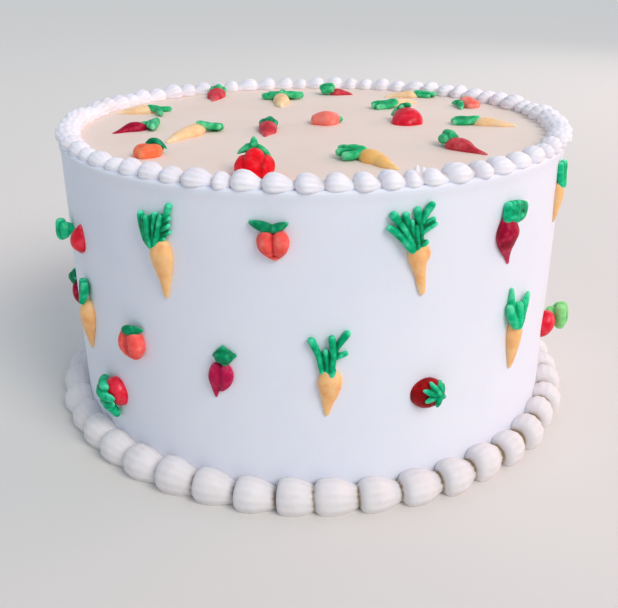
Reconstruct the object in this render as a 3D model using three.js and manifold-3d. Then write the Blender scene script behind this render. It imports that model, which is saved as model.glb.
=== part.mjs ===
// Round birthday cake iced in white, with a piped shell border at the foot and on the rim,
// and small carrots, beets, tomatoes and peaches piped in icing on the wall and the top.
// Millimetres, +Z up, origin at the middle of the underside, front of the cake towards -Y.
import * as THREE from 'three';
import Module from 'manifold-3d';

const wasm = await Module();
wasm.setup();

// The iced cake
const CAKE_RADIUS = 105;
const CAKE_HEIGHT = 118.5;
const CAKE_SIDES = 72;
const FOOT_ROUNDING = 1.5;
const RIM_LIP = 0.5; // how far the edge of the top icing stands out over the wall
const RIM_LIP_HEIGHT = 2;
const RIM_LIP_FULL = [0.7, 0.2]; // shares of that height, from the top, between which it is full
const GAP = 0.3; // clearance between pieces that touch

// The shell border in the corner between wall and table; first is the turn of a shell's head in degrees
const FOOT_BORDER = { shells: 44, first: 1.75, reach: 11, height: 12.4, notch: 0.56, unevenness: 0.05 };
const FOOT_MIDDLE = 0.42; // middle of its round section, as a share of its reach and height
const FOOT_STEPS = [0, 0.1, 0.36, 0.72]; // stations along one shell, from its head
const FOOT_ARC = [130, 95, 60, 25, -11, -46.4]; // degrees round its section, wall to table

// The shell border on the rim of the top
const RIM_BORDER = { shells: 70, first: 2.3, width: 10.4, height: 5.2, notch: 0.6, unevenness: 0.07 };
const RIM_STEPS = [0, 0.2, 0.6];
const RIM_OVERHANG = 1.6; // how far it stands out past the wall
const SHELL_SKEW = 0.6; // under 1 moves the fullest place of a shell towards its head

// Motifs piped in icing
const TUCK = THREE.MathUtils.degToRad(25); // how far a bead of icing curls in under itself
// crown is the height where a root starts, fall how fast its height follows its width as it tapers
const CARROT = { length: 17.5, half: 4.4, rise: 4.6, crown: 1, taper: 0.84, fall: 0.8 };
const CARROT_SHOULDER = { start: 0.35, swell: 4 }; // girth at the crown, and how fast it fills out
const CARROT_STEPS = [0, 0.16, 0.45, 0.78, 1]; // stations along the root, from its crown
const FROND = { count: 5, length: 13.4, spread: 30, half: 1.6, rise: 2.8, foot: 1.9, blunt: 0.6 };
const FROND_STEPS = [0, 0.85, 1];
const FROND_SCATTER = { angle: 7, length: 0.12, shortening: 0.12 };
const BEET = { length: 13.5, half: 5.1, rise: 5, crown: 0.8, crownGirth: 0.55, tail: 0.12, fall: 0.8 };
const BEET_SKEW = 0.62; // under 1 moves its belly up towards the crown
const BEET_STEPS = [0, 0.1, 0.3, 0.55, 0.8, 1];
const BEET_TOP = { length: 9, half: 4.2, rise: 3.6, foot: -0.6, blunt: 0.72, slant: 9, scatter: 8 };
const BEET_TOP_STEPS = [0, 0.2, 0.8, 1];
const TOMATO = { half: 6.6, rise: 5.4, fall: 0.7 };
const TOMATO_STEPS = [0.02, 0.14, 0.38, 0.62, 0.86, 0.98];
const CALYX = { points: 5, length: 5.4, notch: 2, offset: 1.6, scatter: 0.2 };
const CALYX_LEVEL = { top: 7, notch: 5.9, tip: 4.4, floor: 3.4 };
const PEACH = { length: 10, half: 5.8, rise: 4.8, cleft: 0.35, tip: 0.25, fall: 0.6 };
const PEACH_SWELL = { from: 0.2, span: 0.72 }; // part of a half turn that its outline follows
const PEACH_STEPS = [0, 0.16, 0.45, 0.78, 1];
const PEACH_LEAF = { length: 5.6, half: 1.8, rise: 3, lift: 1.6, scatter: 0.8, narrowing: 0.55, droop: 0.3 };
const PEACH_LEAF_STEPS = [-1, -0.35, 0.35, 1]; // stations from one leaf's tip to the other's
const MOTIF_UNEVENNESS = 0.07;

const ICING = {
  white: { color: 0xf1eef2, roughness: 0.55 },
  carrot: { color: 0xf6b265, roughness: 0.5 },
  beet: { color: 0x9c1233, roughness: 0.5 },
  tomato: { color: 0xb30f16, roughness: 0.45 },
  peach: { color: 0xf4605a, roughness: 0.5 },
};

// Wall motifs that show from the front: turn round the cake in degrees, height of the crown,
// lean, which moves the tip to the right and the leaves to the left, and size where it isn't 1
const WALL_FRONT = [
  { kind: 'carrot', turn: -29.4, height: 96.5, lean: 5 },
  { kind: 'peach', turn: -7, height: 102, lean: 4 },
  { kind: 'carrot', turn: 18.3, height: 98.5, lean: 6 },
  { kind: 'beet', turn: 40, height: 100, lean: 4 },
  { kind: 'carrot', turn: 64.3, height: 103.5, lean: 0, size: 0.78 },
  { kind: 'tomato', turn: -57, height: 88.5, lean: 60 },
  { kind: 'beet', turn: -77, height: 55.4, lean: 0, size: 0.9 },
  { kind: 'carrot', turn: -56.7, height: 61.7, lean: 0, size: 1.05 },
  { kind: 'peach', turn: -38.5, height: 55.5, lean: 0, size: 1.1 },
  { kind: 'tomato', turn: -46.5, height: 28.6, lean: 75 },
  { kind: 'beet', turn: -17.2, height: 56, lean: -8 },
  { kind: 'carrot', turn: 3, height: 54.5, lean: -1 },
  { kind: 'tomato', turn: 22.8, height: 42, lean: -80 },
  { kind: 'carrot', turn: 45.5, height: 58, lean: 0, size: 1.15 },
  { kind: 'tomato', turn: 71, height: 39.5, lean: -70 },
];

// The two rows go on round the back at even turns, with the kinds taking turns
const WALL_BACK = [
  { first: 96, step: 24, count: 8, height: 95, kinds: ['peach', 'carrot', 'beet', 'tomato'] },
  { first: 95, step: 22, count: 8, height: 52, kinds: ['beet', 'tomato', 'carrot', 'peach'] },
];
const BACK_SCATTER = { turn: 2.5, height: 4, lean: 9 };
const BACK_SEED = { first: 50, row: 20, height: 0.3, lean: 0.6 };

// Motifs on the top: place of the crown, the way that the tip points in degrees from +X,
// and where they differ from the rest, how large and how plump they are
const TOP_MOTIFS = [
  { kind: 'carrot', x: -75.5, y: 29.5, points: 192, size: 0.85 },
  { kind: 'beet', x: -71.5, y: -9, points: 214, size: 0.86 },
  { kind: 'carrot', x: -46.4, y: -14.6, points: 242, size: 1.22 },
  { kind: 'peach', x: -60, y: -56, points: 228, size: 0.95 },
  { kind: 'beet', x: -48.8, y: 73, points: 268, size: 0.85 },
  { kind: 'carrot', x: -15, y: 60, points: 270, size: 1.2 },
  { kind: 'beet', x: -18.5, y: -10, points: 270 },
  { kind: 'peach', x: -19.5, y: -84.5, points: 272, size: 1.08, plump: 1.75 },
  { kind: 'peach', x: 6.5, y: 3, points: 190, size: 1.12 },
  { kind: 'beet', x: 11, y: 77.5, points: 355, size: 0.8 },
  { kind: 'carrot', x: 19.5, y: -61.5, points: 300, size: 1.12 },
  { kind: 'carrot', x: 40, y: 40, points: 52 },
  { kind: 'tomato', x: 41, y: 3.5, points: 250, size: 1.12 },
  { kind: 'carrot', x: 52, y: 67.2, points: 178, size: 0.85 },
  { kind: 'peach', x: 75, y: 42, points: 12 },
  { kind: 'carrot', x: 71, y: -0.5, points: 342 },
  { kind: 'beet', x: 53, y: -44, points: 312 },
];

const radians = THREE.MathUtils.degToRad;

// Repeatable draw between -1 and 1
function draw(seed) {
  const wave = Math.sin(seed * 12.9898) * 43758.5453;
  return 2 * (wave - Math.floor(wave)) - 1;
}

// Closed skin over rings of points: a loop joins its last ring to the first, a bar has flat ends
function skin(rings, loop) {
  const count = rings[0].length;
  const index = [];
  const spans = loop ? rings.length : rings.length - 1;
  for (let i = 0; i < spans; i++) {
    const here = i * count;
    const ahead = ((i + 1) % rings.length) * count;
    for (let k = 0; k < count; k++) {
      const next = (k + 1) % count;
      index.push(here + k, here + next, ahead + next);
      index.push(here + k, ahead + next, ahead + k);
    }
  }
  if (!loop) {
    const last = (rings.length - 1) * count;
    for (let k = 1; k < count - 1; k++) {
      index.push(0, k + 1, k);
      index.push(last, last + k, last + k + 1);
    }
  }
  const geometry = new THREE.BufferGeometry().setFromPoints(rings.flat());
  geometry.setIndex(index);
  return geometry;
}

// Point of a bead's section at an angle: distance to the side and height over its flat foot
function sectionPoint(angle, { half, rise, cleft = 0 }) {
  const dome = (Math.sin(angle) + Math.sin(TUCK)) / (1 + Math.sin(TUCK));
  const dip = 1 - cleft * (1 - Math.abs(Math.cos(angle))) ** 2;
  return { side: half * Math.cos(angle), up: rise * dome * dip };
}

function sectionAngle(k, points) {
  return -TUCK + ((Math.PI + 2 * TUCK) * k) / (points - 1);
}

// Bead of icing squeezed along a path that lies flat: u across, v up, w out of the surface
function bead(stations, points) {
  const rings = stations.map((station, i) => {
    const before = stations[Math.max(i - 1, 0)];
    const after = stations[Math.min(i + 1, stations.length - 1)];
    const along = new THREE.Vector2(after.u - before.u, after.v - before.v).normalize();
    return Array.from({ length: points }, (_, k) => {
      const { side, up } = sectionPoint(sectionAngle(k, points), station);
      const u = station.u - along.y * side;
      const v = station.v + along.x * side;
      return new THREE.Vector3(u, v, (station.lift ?? 0) + up);
    });
  });
  return skin(rings, false);
}

// Stations along a straight bead, with its width and height from a formula of the share t along it
function straight(start, angle, length, shares, sizes) {
  return shares.map((t) => ({
    u: start.u + Math.sin(angle) * length * t,
    v: start.v + Math.cos(angle) * length * t,
    ...sizes(t),
  }));
}

function manifoldOf(geometry) {
  const vertProperties = new Float32Array(geometry.attributes.position.array);
  const triVerts = new Uint32Array(geometry.index.array);
  return new wasm.Manifold(new wasm.Mesh({ numProp: 3, vertProperties, triVerts }));
}

// One solid from beads that run into each other
function joined(beads) {
  const mesh = beads.map(manifoldOf).reduce((whole, piece) => whole.add(piece)).getMesh();
  const geometry = new THREE.BufferGeometry();
  geometry.setAttribute('position', new THREE.BufferAttribute(mesh.vertProperties, 3));
  geometry.setIndex(new THREE.BufferAttribute(mesh.triVerts, 1));
  return geometry;
}

// Carrot: a tapering root below the crown, and fronds fanned out above it
function carrot(seed) {
  const shoulder = (t) => Math.sqrt(Math.min(1, CARROT_SHOULDER.start + CARROT_SHOULDER.swell * t));
  const girth = (t) => shoulder(t) * (1 - CARROT.taper * t);
  const size = (t) => ({ half: CARROT.half * girth(t), rise: CARROT.rise * girth(t) ** CARROT.fall });
  const crown = { u: 0, v: CARROT.crown };
  const root = bead(straight(crown, Math.PI, CARROT.length, CARROT_STEPS, size), 5);
  const blunt = (t) => (t < 1 ? 1 : FROND.blunt);
  const thickness = (t) => ({ half: FROND.half * blunt(t), rise: FROND.rise * blunt(t) });
  const fronds = [];
  for (let i = 0; i < FROND.count; i++) {
    const share = (2 * i) / (FROND.count - 1) - 1;
    const foot = { u: FROND.foot * share, v: 0 };
    const angle = radians(FROND.spread * share + FROND_SCATTER.angle * draw(seed + i));
    const uneven = 1 + FROND_SCATTER.length * draw(seed + i + 0.5);
    const length = FROND.length * uneven * (1 - FROND_SCATTER.shortening * Math.abs(share));
    fronds.push(bead(straight(foot, angle, length, FROND_STEPS, thickness), 4));
  }
  return joined([root, ...fronds]);
}

// Beet: a round root that runs out into a tail, and a stub of leaves above the crown
function beet(seed) {
  const belly = (t) => Math.sin(Math.PI * t ** BEET_SKEW);
  const girth = (t) => (t === 0 ? BEET.crownGirth : Math.max(BEET.tail, belly(t)));
  const size = (t) => ({ half: BEET.half * girth(t), rise: BEET.rise * girth(t) ** BEET.fall });
  const crown = { u: 0, v: BEET.crown };
  const root = bead(straight(crown, Math.PI, BEET.length, BEET_STEPS, size), 5);
  const blunt = (t) => (t === 0 || t === 1 ? BEET_TOP.blunt : 1);
  const leaf = (t) => ({ half: BEET_TOP.half * blunt(t), rise: BEET_TOP.rise * blunt(t) });
  const angle = radians(BEET_TOP.slant + BEET_TOP.scatter * draw(seed));
  const foot = { u: 0, v: BEET_TOP.foot };
  const leaves = bead(straight(foot, angle, BEET_TOP.length, BEET_TOP_STEPS, leaf), 5);
  return joined([root, leaves]);
}

// Star of sepals: points that droop from a raised middle, closed underneath inside the fruit
function star(seed) {
  const middle = { u: 0, v: CALYX.offset };
  const rim = Array.from({ length: 2 * CALYX.points }, (_, i) => {
    const long = i % 2 === 0;
    const angle = (Math.PI * i) / CALYX.points + CALYX.scatter * draw(seed + i);
    const length = long ? CALYX.length : CALYX.notch;
    const u = middle.u - Math.sin(angle) * length;
    const v = middle.v + Math.cos(angle) * length;
    return new THREE.Vector3(u, v, long ? CALYX_LEVEL.tip : CALYX_LEVEL.notch);
  });
  const ends = [CALYX_LEVEL.floor, CALYX_LEVEL.top].map((w) => new THREE.Vector3(middle.u, middle.v, w));
  const index = [];
  rim.forEach((_, i) => {
    const next = (i + 1) % rim.length;
    index.push(rim.length, next, i);
    index.push(rim.length + 1, i, next);
  });
  return new THREE.BufferGeometry().setFromPoints([...rim, ...ends]).setIndex(index);
}

// Tomato: a round dome with a star of sepals over one side of it
function tomato(seed) {
  const girth = (t) => Math.sqrt(1 - (2 * t - 1) ** 2);
  const size = (t) => ({ half: TOMATO.half * girth(t), rise: TOMATO.rise * girth(t) ** TOMATO.fall });
  const top = { u: 0, v: TOMATO.half };
  const dome = bead(straight(top, Math.PI, 2 * TOMATO.half, TOMATO_STEPS, size), 6);
  return joined([dome, star(seed)]);
}

// Peach: two lobes that meet in a cleft and run down to a point, with two leaves on top
function peach(seed) {
  const girth = (t) => Math.max(PEACH.tip, Math.sin(Math.PI * (PEACH_SWELL.from + PEACH_SWELL.span * t)));
  const lobes = (t) => ({
    half: PEACH.half * girth(t),
    rise: PEACH.rise * girth(t) ** PEACH.fall,
    cleft: PEACH.cleft,
  });
  const top = { u: 0, v: PEACH.length / 2 };
  const fruit = bead(straight(top, Math.PI, PEACH.length, PEACH_STEPS, lobes), 7);
  const leaves = PEACH_LEAF_STEPS.map((side) => ({
    u: PEACH_LEAF.length * side,
    v: top.v + PEACH_LEAF.lift * Math.abs(side) + PEACH_LEAF.scatter * draw(seed + side),
    half: PEACH_LEAF.half * (1 - PEACH_LEAF.narrowing * side ** 2),
    rise: PEACH_LEAF.rise * (1 - PEACH_LEAF.droop * Math.abs(side)),
  }));
  return joined([fruit, bead(leaves, 4)]);
}

const MOTIFS = { carrot, beet, tomato, peach };

// Motif turned in its own plane and bent round the wall
function onWall(geometry, lean) {
  const turned = geometry.rotateZ(radians(lean));
  const position = turned.attributes.position;
  for (let i = 0; i < position.count; i++) {
    const angle = position.getX(i) / CAKE_RADIUS;
    const radius = CAKE_RADIUS + GAP + position.getZ(i);
    position.setXYZ(i, radius * Math.sin(angle), -radius * Math.cos(angle), position.getY(i));
  }
  return turned;
}

// The cake itself: a plain round block with a rounded foot and a thin lip of icing at its rim
function cakeBlock() {
  const foot = [0, 90].map((degrees) => {
    const angle = radians(degrees);
    const inset = FOOT_ROUNDING * (1 - Math.sin(angle));
    return new THREE.Vector2(CAKE_RADIUS - inset, FOOT_ROUNDING * (1 - Math.cos(angle)));
  });
  const rim = [
    new THREE.Vector2(CAKE_RADIUS, CAKE_HEIGHT - RIM_LIP_HEIGHT),
    ...RIM_LIP_FULL.map((share) => {
      return new THREE.Vector2(CAKE_RADIUS + RIM_LIP, CAKE_HEIGHT - share * RIM_LIP_HEIGHT);
    }),
    new THREE.Vector2(CAKE_RADIUS, CAKE_HEIGHT),
  ];
  const profile = [new THREE.Vector2(0, 0), ...foot, ...rim, new THREE.Vector2(0, CAKE_HEIGHT)];
  return new THREE.LatheGeometry(profile, CAKE_SIDES).rotateX(Math.PI / 2);
}

// How full a shell is at a share of its length: a steep round head, then a long tail
function fullness(share, border, shell) {
  const swell = Math.sin(Math.PI * share ** SHELL_SKEW);
  const size = 1 + border.unevenness * draw(shell + border.shells);
  return size * (border.notch + (1 - border.notch) * swell);
}

// Row of shells round the cake, from a section given as distance out from the wall and height
function shellRow(border, steps, section) {
  const rings = [];
  for (let shell = 0; shell < border.shells; shell++) {
    for (const share of steps) {
      const angle = radians(border.first - 90) + (2 * Math.PI * (shell + share)) / border.shells;
      const points = section(fullness(share, border, shell));
      rings.push(points.map(({ out, up }) => {
        const radius = CAKE_RADIUS + out;
        return new THREE.Vector3(radius * Math.cos(angle), radius * Math.sin(angle), up);
      }));
    }
  }
  return skin(rings, true);
}

// Shells squeezed into the corner between wall and table: flat at the back and underneath
function footBorder() {
  const round = 1 - FOOT_MIDDLE;
  return shellRow(FOOT_BORDER, FOOT_STEPS, (full) => {
    const reach = FOOT_BORDER.reach * full;
    const height = FOOT_BORDER.height * full;
    const arc = FOOT_ARC.map((degrees) => ({
      out: GAP + Math.max(0, reach * (FOOT_MIDDLE + round * Math.cos(radians(degrees)))),
      up: Math.max(0, height * (FOOT_MIDDLE + round * Math.sin(radians(degrees)))),
    }));
    arc[0].out = GAP;
    arc[arc.length - 1].up = 0;
    return [...arc, { out: GAP, up: 0 }];
  });
}

// Shells along the rim: rounded beads that sit flat on the top icing
function rimBorder() {
  const points = 6;
  const outer = RIM_OVERHANG - RIM_BORDER.width / 2;
  return shellRow(RIM_BORDER, RIM_STEPS, (full) => Array.from({ length: points }, (_, k) => {
    const size = { half: (RIM_BORDER.width / 2) * full, rise: RIM_BORDER.height * full };
    const { side, up } = sectionPoint(sectionAngle(k, points), size);
    return { out: outer - side, up: CAKE_HEIGHT + GAP + up };
  }));
}

// All the wall motifs, those at the back scattered a little about their rows
function wallMotifs() {
  const back = WALL_BACK.flatMap((row, r) => Array.from({ length: row.count }, (_, i) => {
    const seed = BACK_SEED.first + BACK_SEED.row * r + i;
    return {
      kind: row.kinds[i % row.kinds.length],
      turn: row.first + row.step * i + BACK_SCATTER.turn * draw(seed),
      height: row.height + BACK_SCATTER.height * draw(seed + BACK_SEED.height),
      lean: BACK_SCATTER.lean * draw(seed + BACK_SEED.lean),
    };
  }));
  return [...WALL_FRONT, ...back];
}

const cake = new THREE.Group();

function addMesh(name, geometry, icing) {
  geometry.computeVertexNormals();
  const mesh = new THREE.Mesh(geometry, new THREE.MeshStandardMaterial({ ...ICING[icing], metalness: 0 }));
  mesh.name = name;
  cake.add(mesh);
  return mesh;
}

const made = {};

// Name and shape of the next motif of a kind, each a little larger or smaller than the last
function nextMotif(kind, size = 1, plump = 1) {
  made[kind] = (made[kind] ?? 0) + 1;
  const seed = made[kind] * 10;
  const scale = size * (1 + MOTIF_UNEVENNESS * draw(seed));
  const name = `${kind}_${String(made[kind]).padStart(2, '0')}`;
  return { name, geometry: MOTIFS[kind](seed).scale(scale, scale, scale * plump) };
}

addMesh('cake', cakeBlock(), 'white');
addMesh('foot_border', footBorder(), 'white');
addMesh('rim_border', rimBorder(), 'white');

for (const { kind, turn, height, lean, size } of wallMotifs()) {
  const { name, geometry } = nextMotif(kind, size);
  const mesh = addMesh(name, onWall(geometry, lean), kind);
  mesh.position.z = height;
  mesh.rotation.z = radians(turn);
}

for (const { kind, x, y, points, size, plump } of TOP_MOTIFS) {
  const { name, geometry } = nextMotif(kind, size, plump);
  const mesh = addMesh(name, geometry, kind);
  mesh.position.set(x, y, CAKE_HEIGHT + GAP);
  mesh.rotation.z = radians(points + 90);
}

export default cake;
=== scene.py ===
import math

import bpy
import numpy as np
from mathutils import Matrix, Vector


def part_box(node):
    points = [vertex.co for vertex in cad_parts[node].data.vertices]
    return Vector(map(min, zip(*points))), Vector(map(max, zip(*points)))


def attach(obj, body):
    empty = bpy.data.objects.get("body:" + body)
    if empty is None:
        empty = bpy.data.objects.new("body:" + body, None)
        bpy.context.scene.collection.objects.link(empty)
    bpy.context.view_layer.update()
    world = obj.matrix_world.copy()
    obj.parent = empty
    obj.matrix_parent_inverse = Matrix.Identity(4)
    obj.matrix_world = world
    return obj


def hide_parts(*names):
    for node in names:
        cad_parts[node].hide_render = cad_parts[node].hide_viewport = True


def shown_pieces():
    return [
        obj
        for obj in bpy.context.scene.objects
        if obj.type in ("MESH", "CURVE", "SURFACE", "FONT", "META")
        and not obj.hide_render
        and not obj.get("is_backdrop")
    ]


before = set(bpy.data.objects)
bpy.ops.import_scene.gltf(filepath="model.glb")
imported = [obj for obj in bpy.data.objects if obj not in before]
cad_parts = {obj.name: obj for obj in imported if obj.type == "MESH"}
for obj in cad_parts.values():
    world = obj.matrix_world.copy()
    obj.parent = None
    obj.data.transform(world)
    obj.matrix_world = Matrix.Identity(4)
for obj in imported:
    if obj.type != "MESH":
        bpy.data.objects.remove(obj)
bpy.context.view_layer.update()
mm = 0.001
print("frame loaded,", len(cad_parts), "nodes")


# Small helpers

def draw(seed):  # repeatable draw between -1 and 1
    wave = math.sin(seed * 12.9898) * 43758.5453
    return 2 * (wave - math.floor(wave)) - 1


def deselectAll():
    if bpy.context.mode != "OBJECT":
        bpy.ops.object.mode_set(mode="OBJECT")
    bpy.ops.object.select_all(action="DESELECT")


def selectOnly(*pieces):
    deselectAll()
    for piece in pieces:
        piece.select_set(True)
    bpy.context.view_layer.objects.active = pieces[0]


def applyModifier(piece, kind, **settings):
    selectOnly(piece)
    modifier = piece.modifiers.new(kind.lower(), kind)
    for name, value in settings.items():
        setattr(modifier, name, value)
    bpy.ops.object.modifier_apply(modifier=modifier.name)


def ownCopy(piece):  # copy with a mesh of its own
    copy = piece.copy()
    copy.data = piece.data.copy()
    bpy.context.collection.objects.link(copy)
    return copy


def startMesh(name, selectMode):  # empty mesh, left in edit mode
    deselectAll()
    bpy.ops.object.add(type="MESH")
    piece = bpy.context.object
    piece.name = name
    bpy.ops.object.mode_set(mode="EDIT")
    bpy.ops.mesh.select_mode(type=selectMode)
    return piece


def cutFlat(piece, height):  # all below the height cut off and closed
    selectOnly(piece)
    bpy.ops.object.mode_set(mode="EDIT")
    bpy.ops.mesh.select_all(action="SELECT")
    bpy.ops.mesh.bisect(plane_co=(0, 0, height), plane_no=(0, 0, 1), clear_inner=True, use_fill=True)
    deselectAll()


def readPoints(piece):
    points = np.empty(len(piece.data.vertices) * 3)
    piece.data.vertices.foreach_get("co", points)
    return points.reshape(-1, 3)


def writePoints(piece, points):
    piece.data.vertices.foreach_set("co", np.asarray(points, dtype=float).ravel())
    piece.data.update()


def turned(points, degrees):  # counterclockwise in the plane of the first two columns
    u, v, w = points.T
    cos, sin = math.cos(math.radians(degrees)), math.sin(math.radians(degrees))
    return np.column_stack([u * cos - v * sin, u * sin + v * cos, w])


def keepPiece(piece, node, slot, *materials):
    piece.data.materials.clear()
    for material in materials:
        piece.data.materials.append(material)
    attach(piece, "root")
    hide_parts(node)


# Camera, floor and light

cameraView = {
    "place": (0, -0.3496, 0.1882),
    "pitch": 23.81,  # degrees below the horizon
    "turn": 0.26,
    "roll": -0.23,
    "lens": 47.03,  # millimetres on a 36 mm sensor
}
stageLook = {
    "floorSize": 40,
    "floorColour": (0.78, 0.745, 0.70),
    "skyColour": (0.74, 0.86, 1.0),
    "skyStrength": 0.57,
}
lampLook = {  # size is in degrees for the sun, in metres for the others
    "key": {"type": "SUN", "place": (0.50, -0.56, 0.64), "aim": (0, 0, 0), "size": 30,
            "power": 1.64, "colour": (1.0, 0.95, 0.9)},
    "side": {"type": "AREA", "place": (1.3, 0.25, 0.5), "aim": (0, 0, 0.06), "size": 0.8,
             "power": 4.9, "colour": (1.0, 0.45, 0.4)},
    "rear": {"type": "AREA", "place": (0.6, 0.95, 0.8), "aim": (0, 0, 0.12), "size": 0.9,
             "power": 2.2, "colour": (1.0, 0.95, 0.92)},
}


def makeCamera():
    deselectAll()
    bpy.ops.object.camera_add(location=cameraView["place"])
    camera = bpy.context.object
    camera.name = "photoCamera"
    tilt = Matrix.Rotation(math.radians(90 - cameraView["pitch"]), 3, "X")
    turn = Matrix.Rotation(math.radians(cameraView["turn"]), 3, "Z")
    roll = Matrix.Rotation(math.radians(cameraView["roll"]), 3, "Z")
    camera.rotation_euler = (turn @ tilt @ roll).to_euler()
    camera.data.lens = cameraView["lens"]
    camera.data.sensor_width = 36
    camera.data.clip_start = 0.01
    bpy.context.scene.camera = camera


def makeFloor():
    deselectAll()
    bpy.ops.mesh.primitive_plane_add(size=stageLook["floorSize"])
    floor = bpy.context.object
    floor.name = "floor"
    paint = bpy.data.materials.new("floorPaint")
    paint.use_nodes = True
    shader = paint.node_tree.nodes["Principled BSDF"]
    shader.inputs["Base Color"].default_value = (*stageLook["floorColour"], 1)
    shader.inputs["Roughness"].default_value = 0.8
    floor.data.materials.append(paint)
    floor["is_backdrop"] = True


def makeLamps():
    world = bpy.data.worlds.new("softRoom")
    world.use_nodes = True
    sky = world.node_tree.nodes["Background"]
    sky.inputs["Color"].default_value = (*stageLook["skyColour"], 1)
    sky.inputs["Strength"].default_value = stageLook["skyStrength"]
    bpy.context.scene.world = world
    for name, look in lampLook.items():
        deselectAll()
        bpy.ops.object.light_add(type=look["type"], location=look["place"])
        lamp = bpy.context.object
        lamp.name = name + "Lamp"
        towards = Vector(look["aim"]) - Vector(look["place"])
        lamp.rotation_euler = towards.to_track_quat("-Z", "Y").to_euler()
        lamp.data.energy = look["power"]
        lamp.data.color = look["colour"]
        if look["type"] == "SUN":
            lamp.data.angle = math.radians(look["size"])
        else:
            lamp.data.size = look["size"]


makeCamera()
makeFloor()
makeLamps()
bpy.context.scene.view_settings.view_transform = "Standard"
print("camera, floor and light made")


# Icing finishes, with a painted highlight on crests and painted shade in creases

def fromScreen(colour):  # screen colour, 0 to 255, as linear light
    shares = [part / 255 for part in colour]
    return [s / 12.92 if s < 0.04045 else ((s + 0.055) / 1.055) ** 2.4 for s in shares] + [1]


icingBase = {  # what the finishes share; sizes in mm
    "stops": (0.1, 0.5, 0.95),  # how creased the icing is where each of its three tones is full
    "patch": 4,  # size of the patches of tone
    "mottle": 1,  # how much the patches show
    "rough": 0.4,
    "roughSpread": 0.07,
    "shine": 0.14,
    "soft": 0.05,  # how far light goes into the icing
    "softReach": (1.0, 0.7, 0.5),
    "softSize": 1.5,
    "grain": 0.2,
    "grainSize": 0.9,
    "grainDepth": 0.3,
}
# The crest tone is a painted highlight and the crease tone painted shade; only the flat tone is the icing's
# own colour
icingLook = {  # screen colours on crests, on flats and in creases, and what differs from the rest
    "wallIcing": {"tones": ((238, 240, 248), (235, 237, 247), (229, 232, 243)),
                  "patch": 30, "rough": 0.55, "shine": 0.3, "soft": 0.15, "grain": 0.1},
    # Top: warmer than the wall icing, partly its own ivory tone and partly painted warm light on the top
    "topIcing": {"tones": ((247, 228, 215), (244, 223, 209), (238, 216, 199)),
                 "patch": 26, "rough": 0.6, "shine": 0.3, "soft": 0.15, "grain": 0.1},
    "rimIcing": {"tones": ((250, 247, 252), (245, 241, 248), (222, 214, 214)),
                 "patch": 12, "rough": 0.5, "shine": 0.3, "soft": 0.2, "grain": 0.1},
    # Foot shells: a darker copy of the rim icing as painted shade, with a dark beige crease tone that is
    # painted shade warmed by a painted reflection
    "footIcingShaded": {"tones": ((238, 234, 236), (231, 226, 226), (146, 122, 90)),
                  "patch": 12, "mottle": 0.2, "rough": 0.5, "shine": 0.3, "soft": 0.2, "grain": 0.1},
    "carrotIcing": {"tones": ((255, 214, 162), (255, 196, 130), (240, 152, 90)),
                    "patch": 5, "shine": 0.3, "soft": 0.15},
    "carrotGoldIcing": {"tones": ((255, 218, 158), (255, 199, 114), (246, 162, 74)),
                        "patch": 5, "shine": 0.3, "soft": 0.15},
    "carrotPaleIcing": {"tones": ((255, 228, 191), (255, 211, 159), (248, 178, 112)),
                        "patch": 5, "shine": 0.3, "soft": 0.15},
    "beetIcing": {"tones": ((226, 72, 108), (166, 0, 46), (104, 0, 28))},
    "beetPinkIcing": {"tones": ((236, 96, 120), (194, 20, 78), (140, 0, 54)), "patch": 5},
    "beetRedIcing": {"tones": ((234, 112, 112), (204, 54, 66), (152, 26, 42))},
    "tomatoIcing": {"tones": ((205, 40, 40), (158, 0, 6), (92, 0, 3)), "rough": 0.35, "grain": 0.15},
    "tomatoBrightIcing": {"tones": ((250, 84, 104), (230, 12, 44), (164, 0, 22)),
                          "rough": 0.28, "shine": 0.3, "grain": 0.15},
    "peachIcing": {"tones": ((255, 152, 138), (255, 94, 84), (205, 42, 48)), "soft": 0.1},
    "peachRedIcing": {"tones": ((255, 84, 88), (248, 8, 30), (160, 0, 12))},
    "peachPaleIcing": {"tones": ((255, 168, 152), (255, 130, 114), (236, 84, 72)), "soft": 0.1},
    "peachOrangeIcing": {"tones": ((255, 162, 118), (255, 126, 80), (222, 86, 50)), "soft": 0.1},
    "leafIcing": {"tones": ((92, 234, 184), (0, 180, 122), (0, 100, 60)), "patch": 3, "shine": 0.1},
    "topLeafIcing": {"tones": ((138, 234, 176), (44, 188, 120), (6, 124, 70)), "patch": 3, "shine": 0.1},
    "darkLeafIcing": {"tones": ((74, 204, 150), (0, 139, 90), (0, 76, 42)), "patch": 3, "shine": 0.12},
    "brightLeafIcing": {"tones": ((116, 236, 182), (18, 202, 138), (0, 146, 90)),
                        "patch": 3, "shine": 0.12},
    "paleLeafIcing": {"tones": ((175, 235, 165), (140, 222, 135), (60, 170, 90)),
                      "patch": 3, "shine": 0.12},
}


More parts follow.
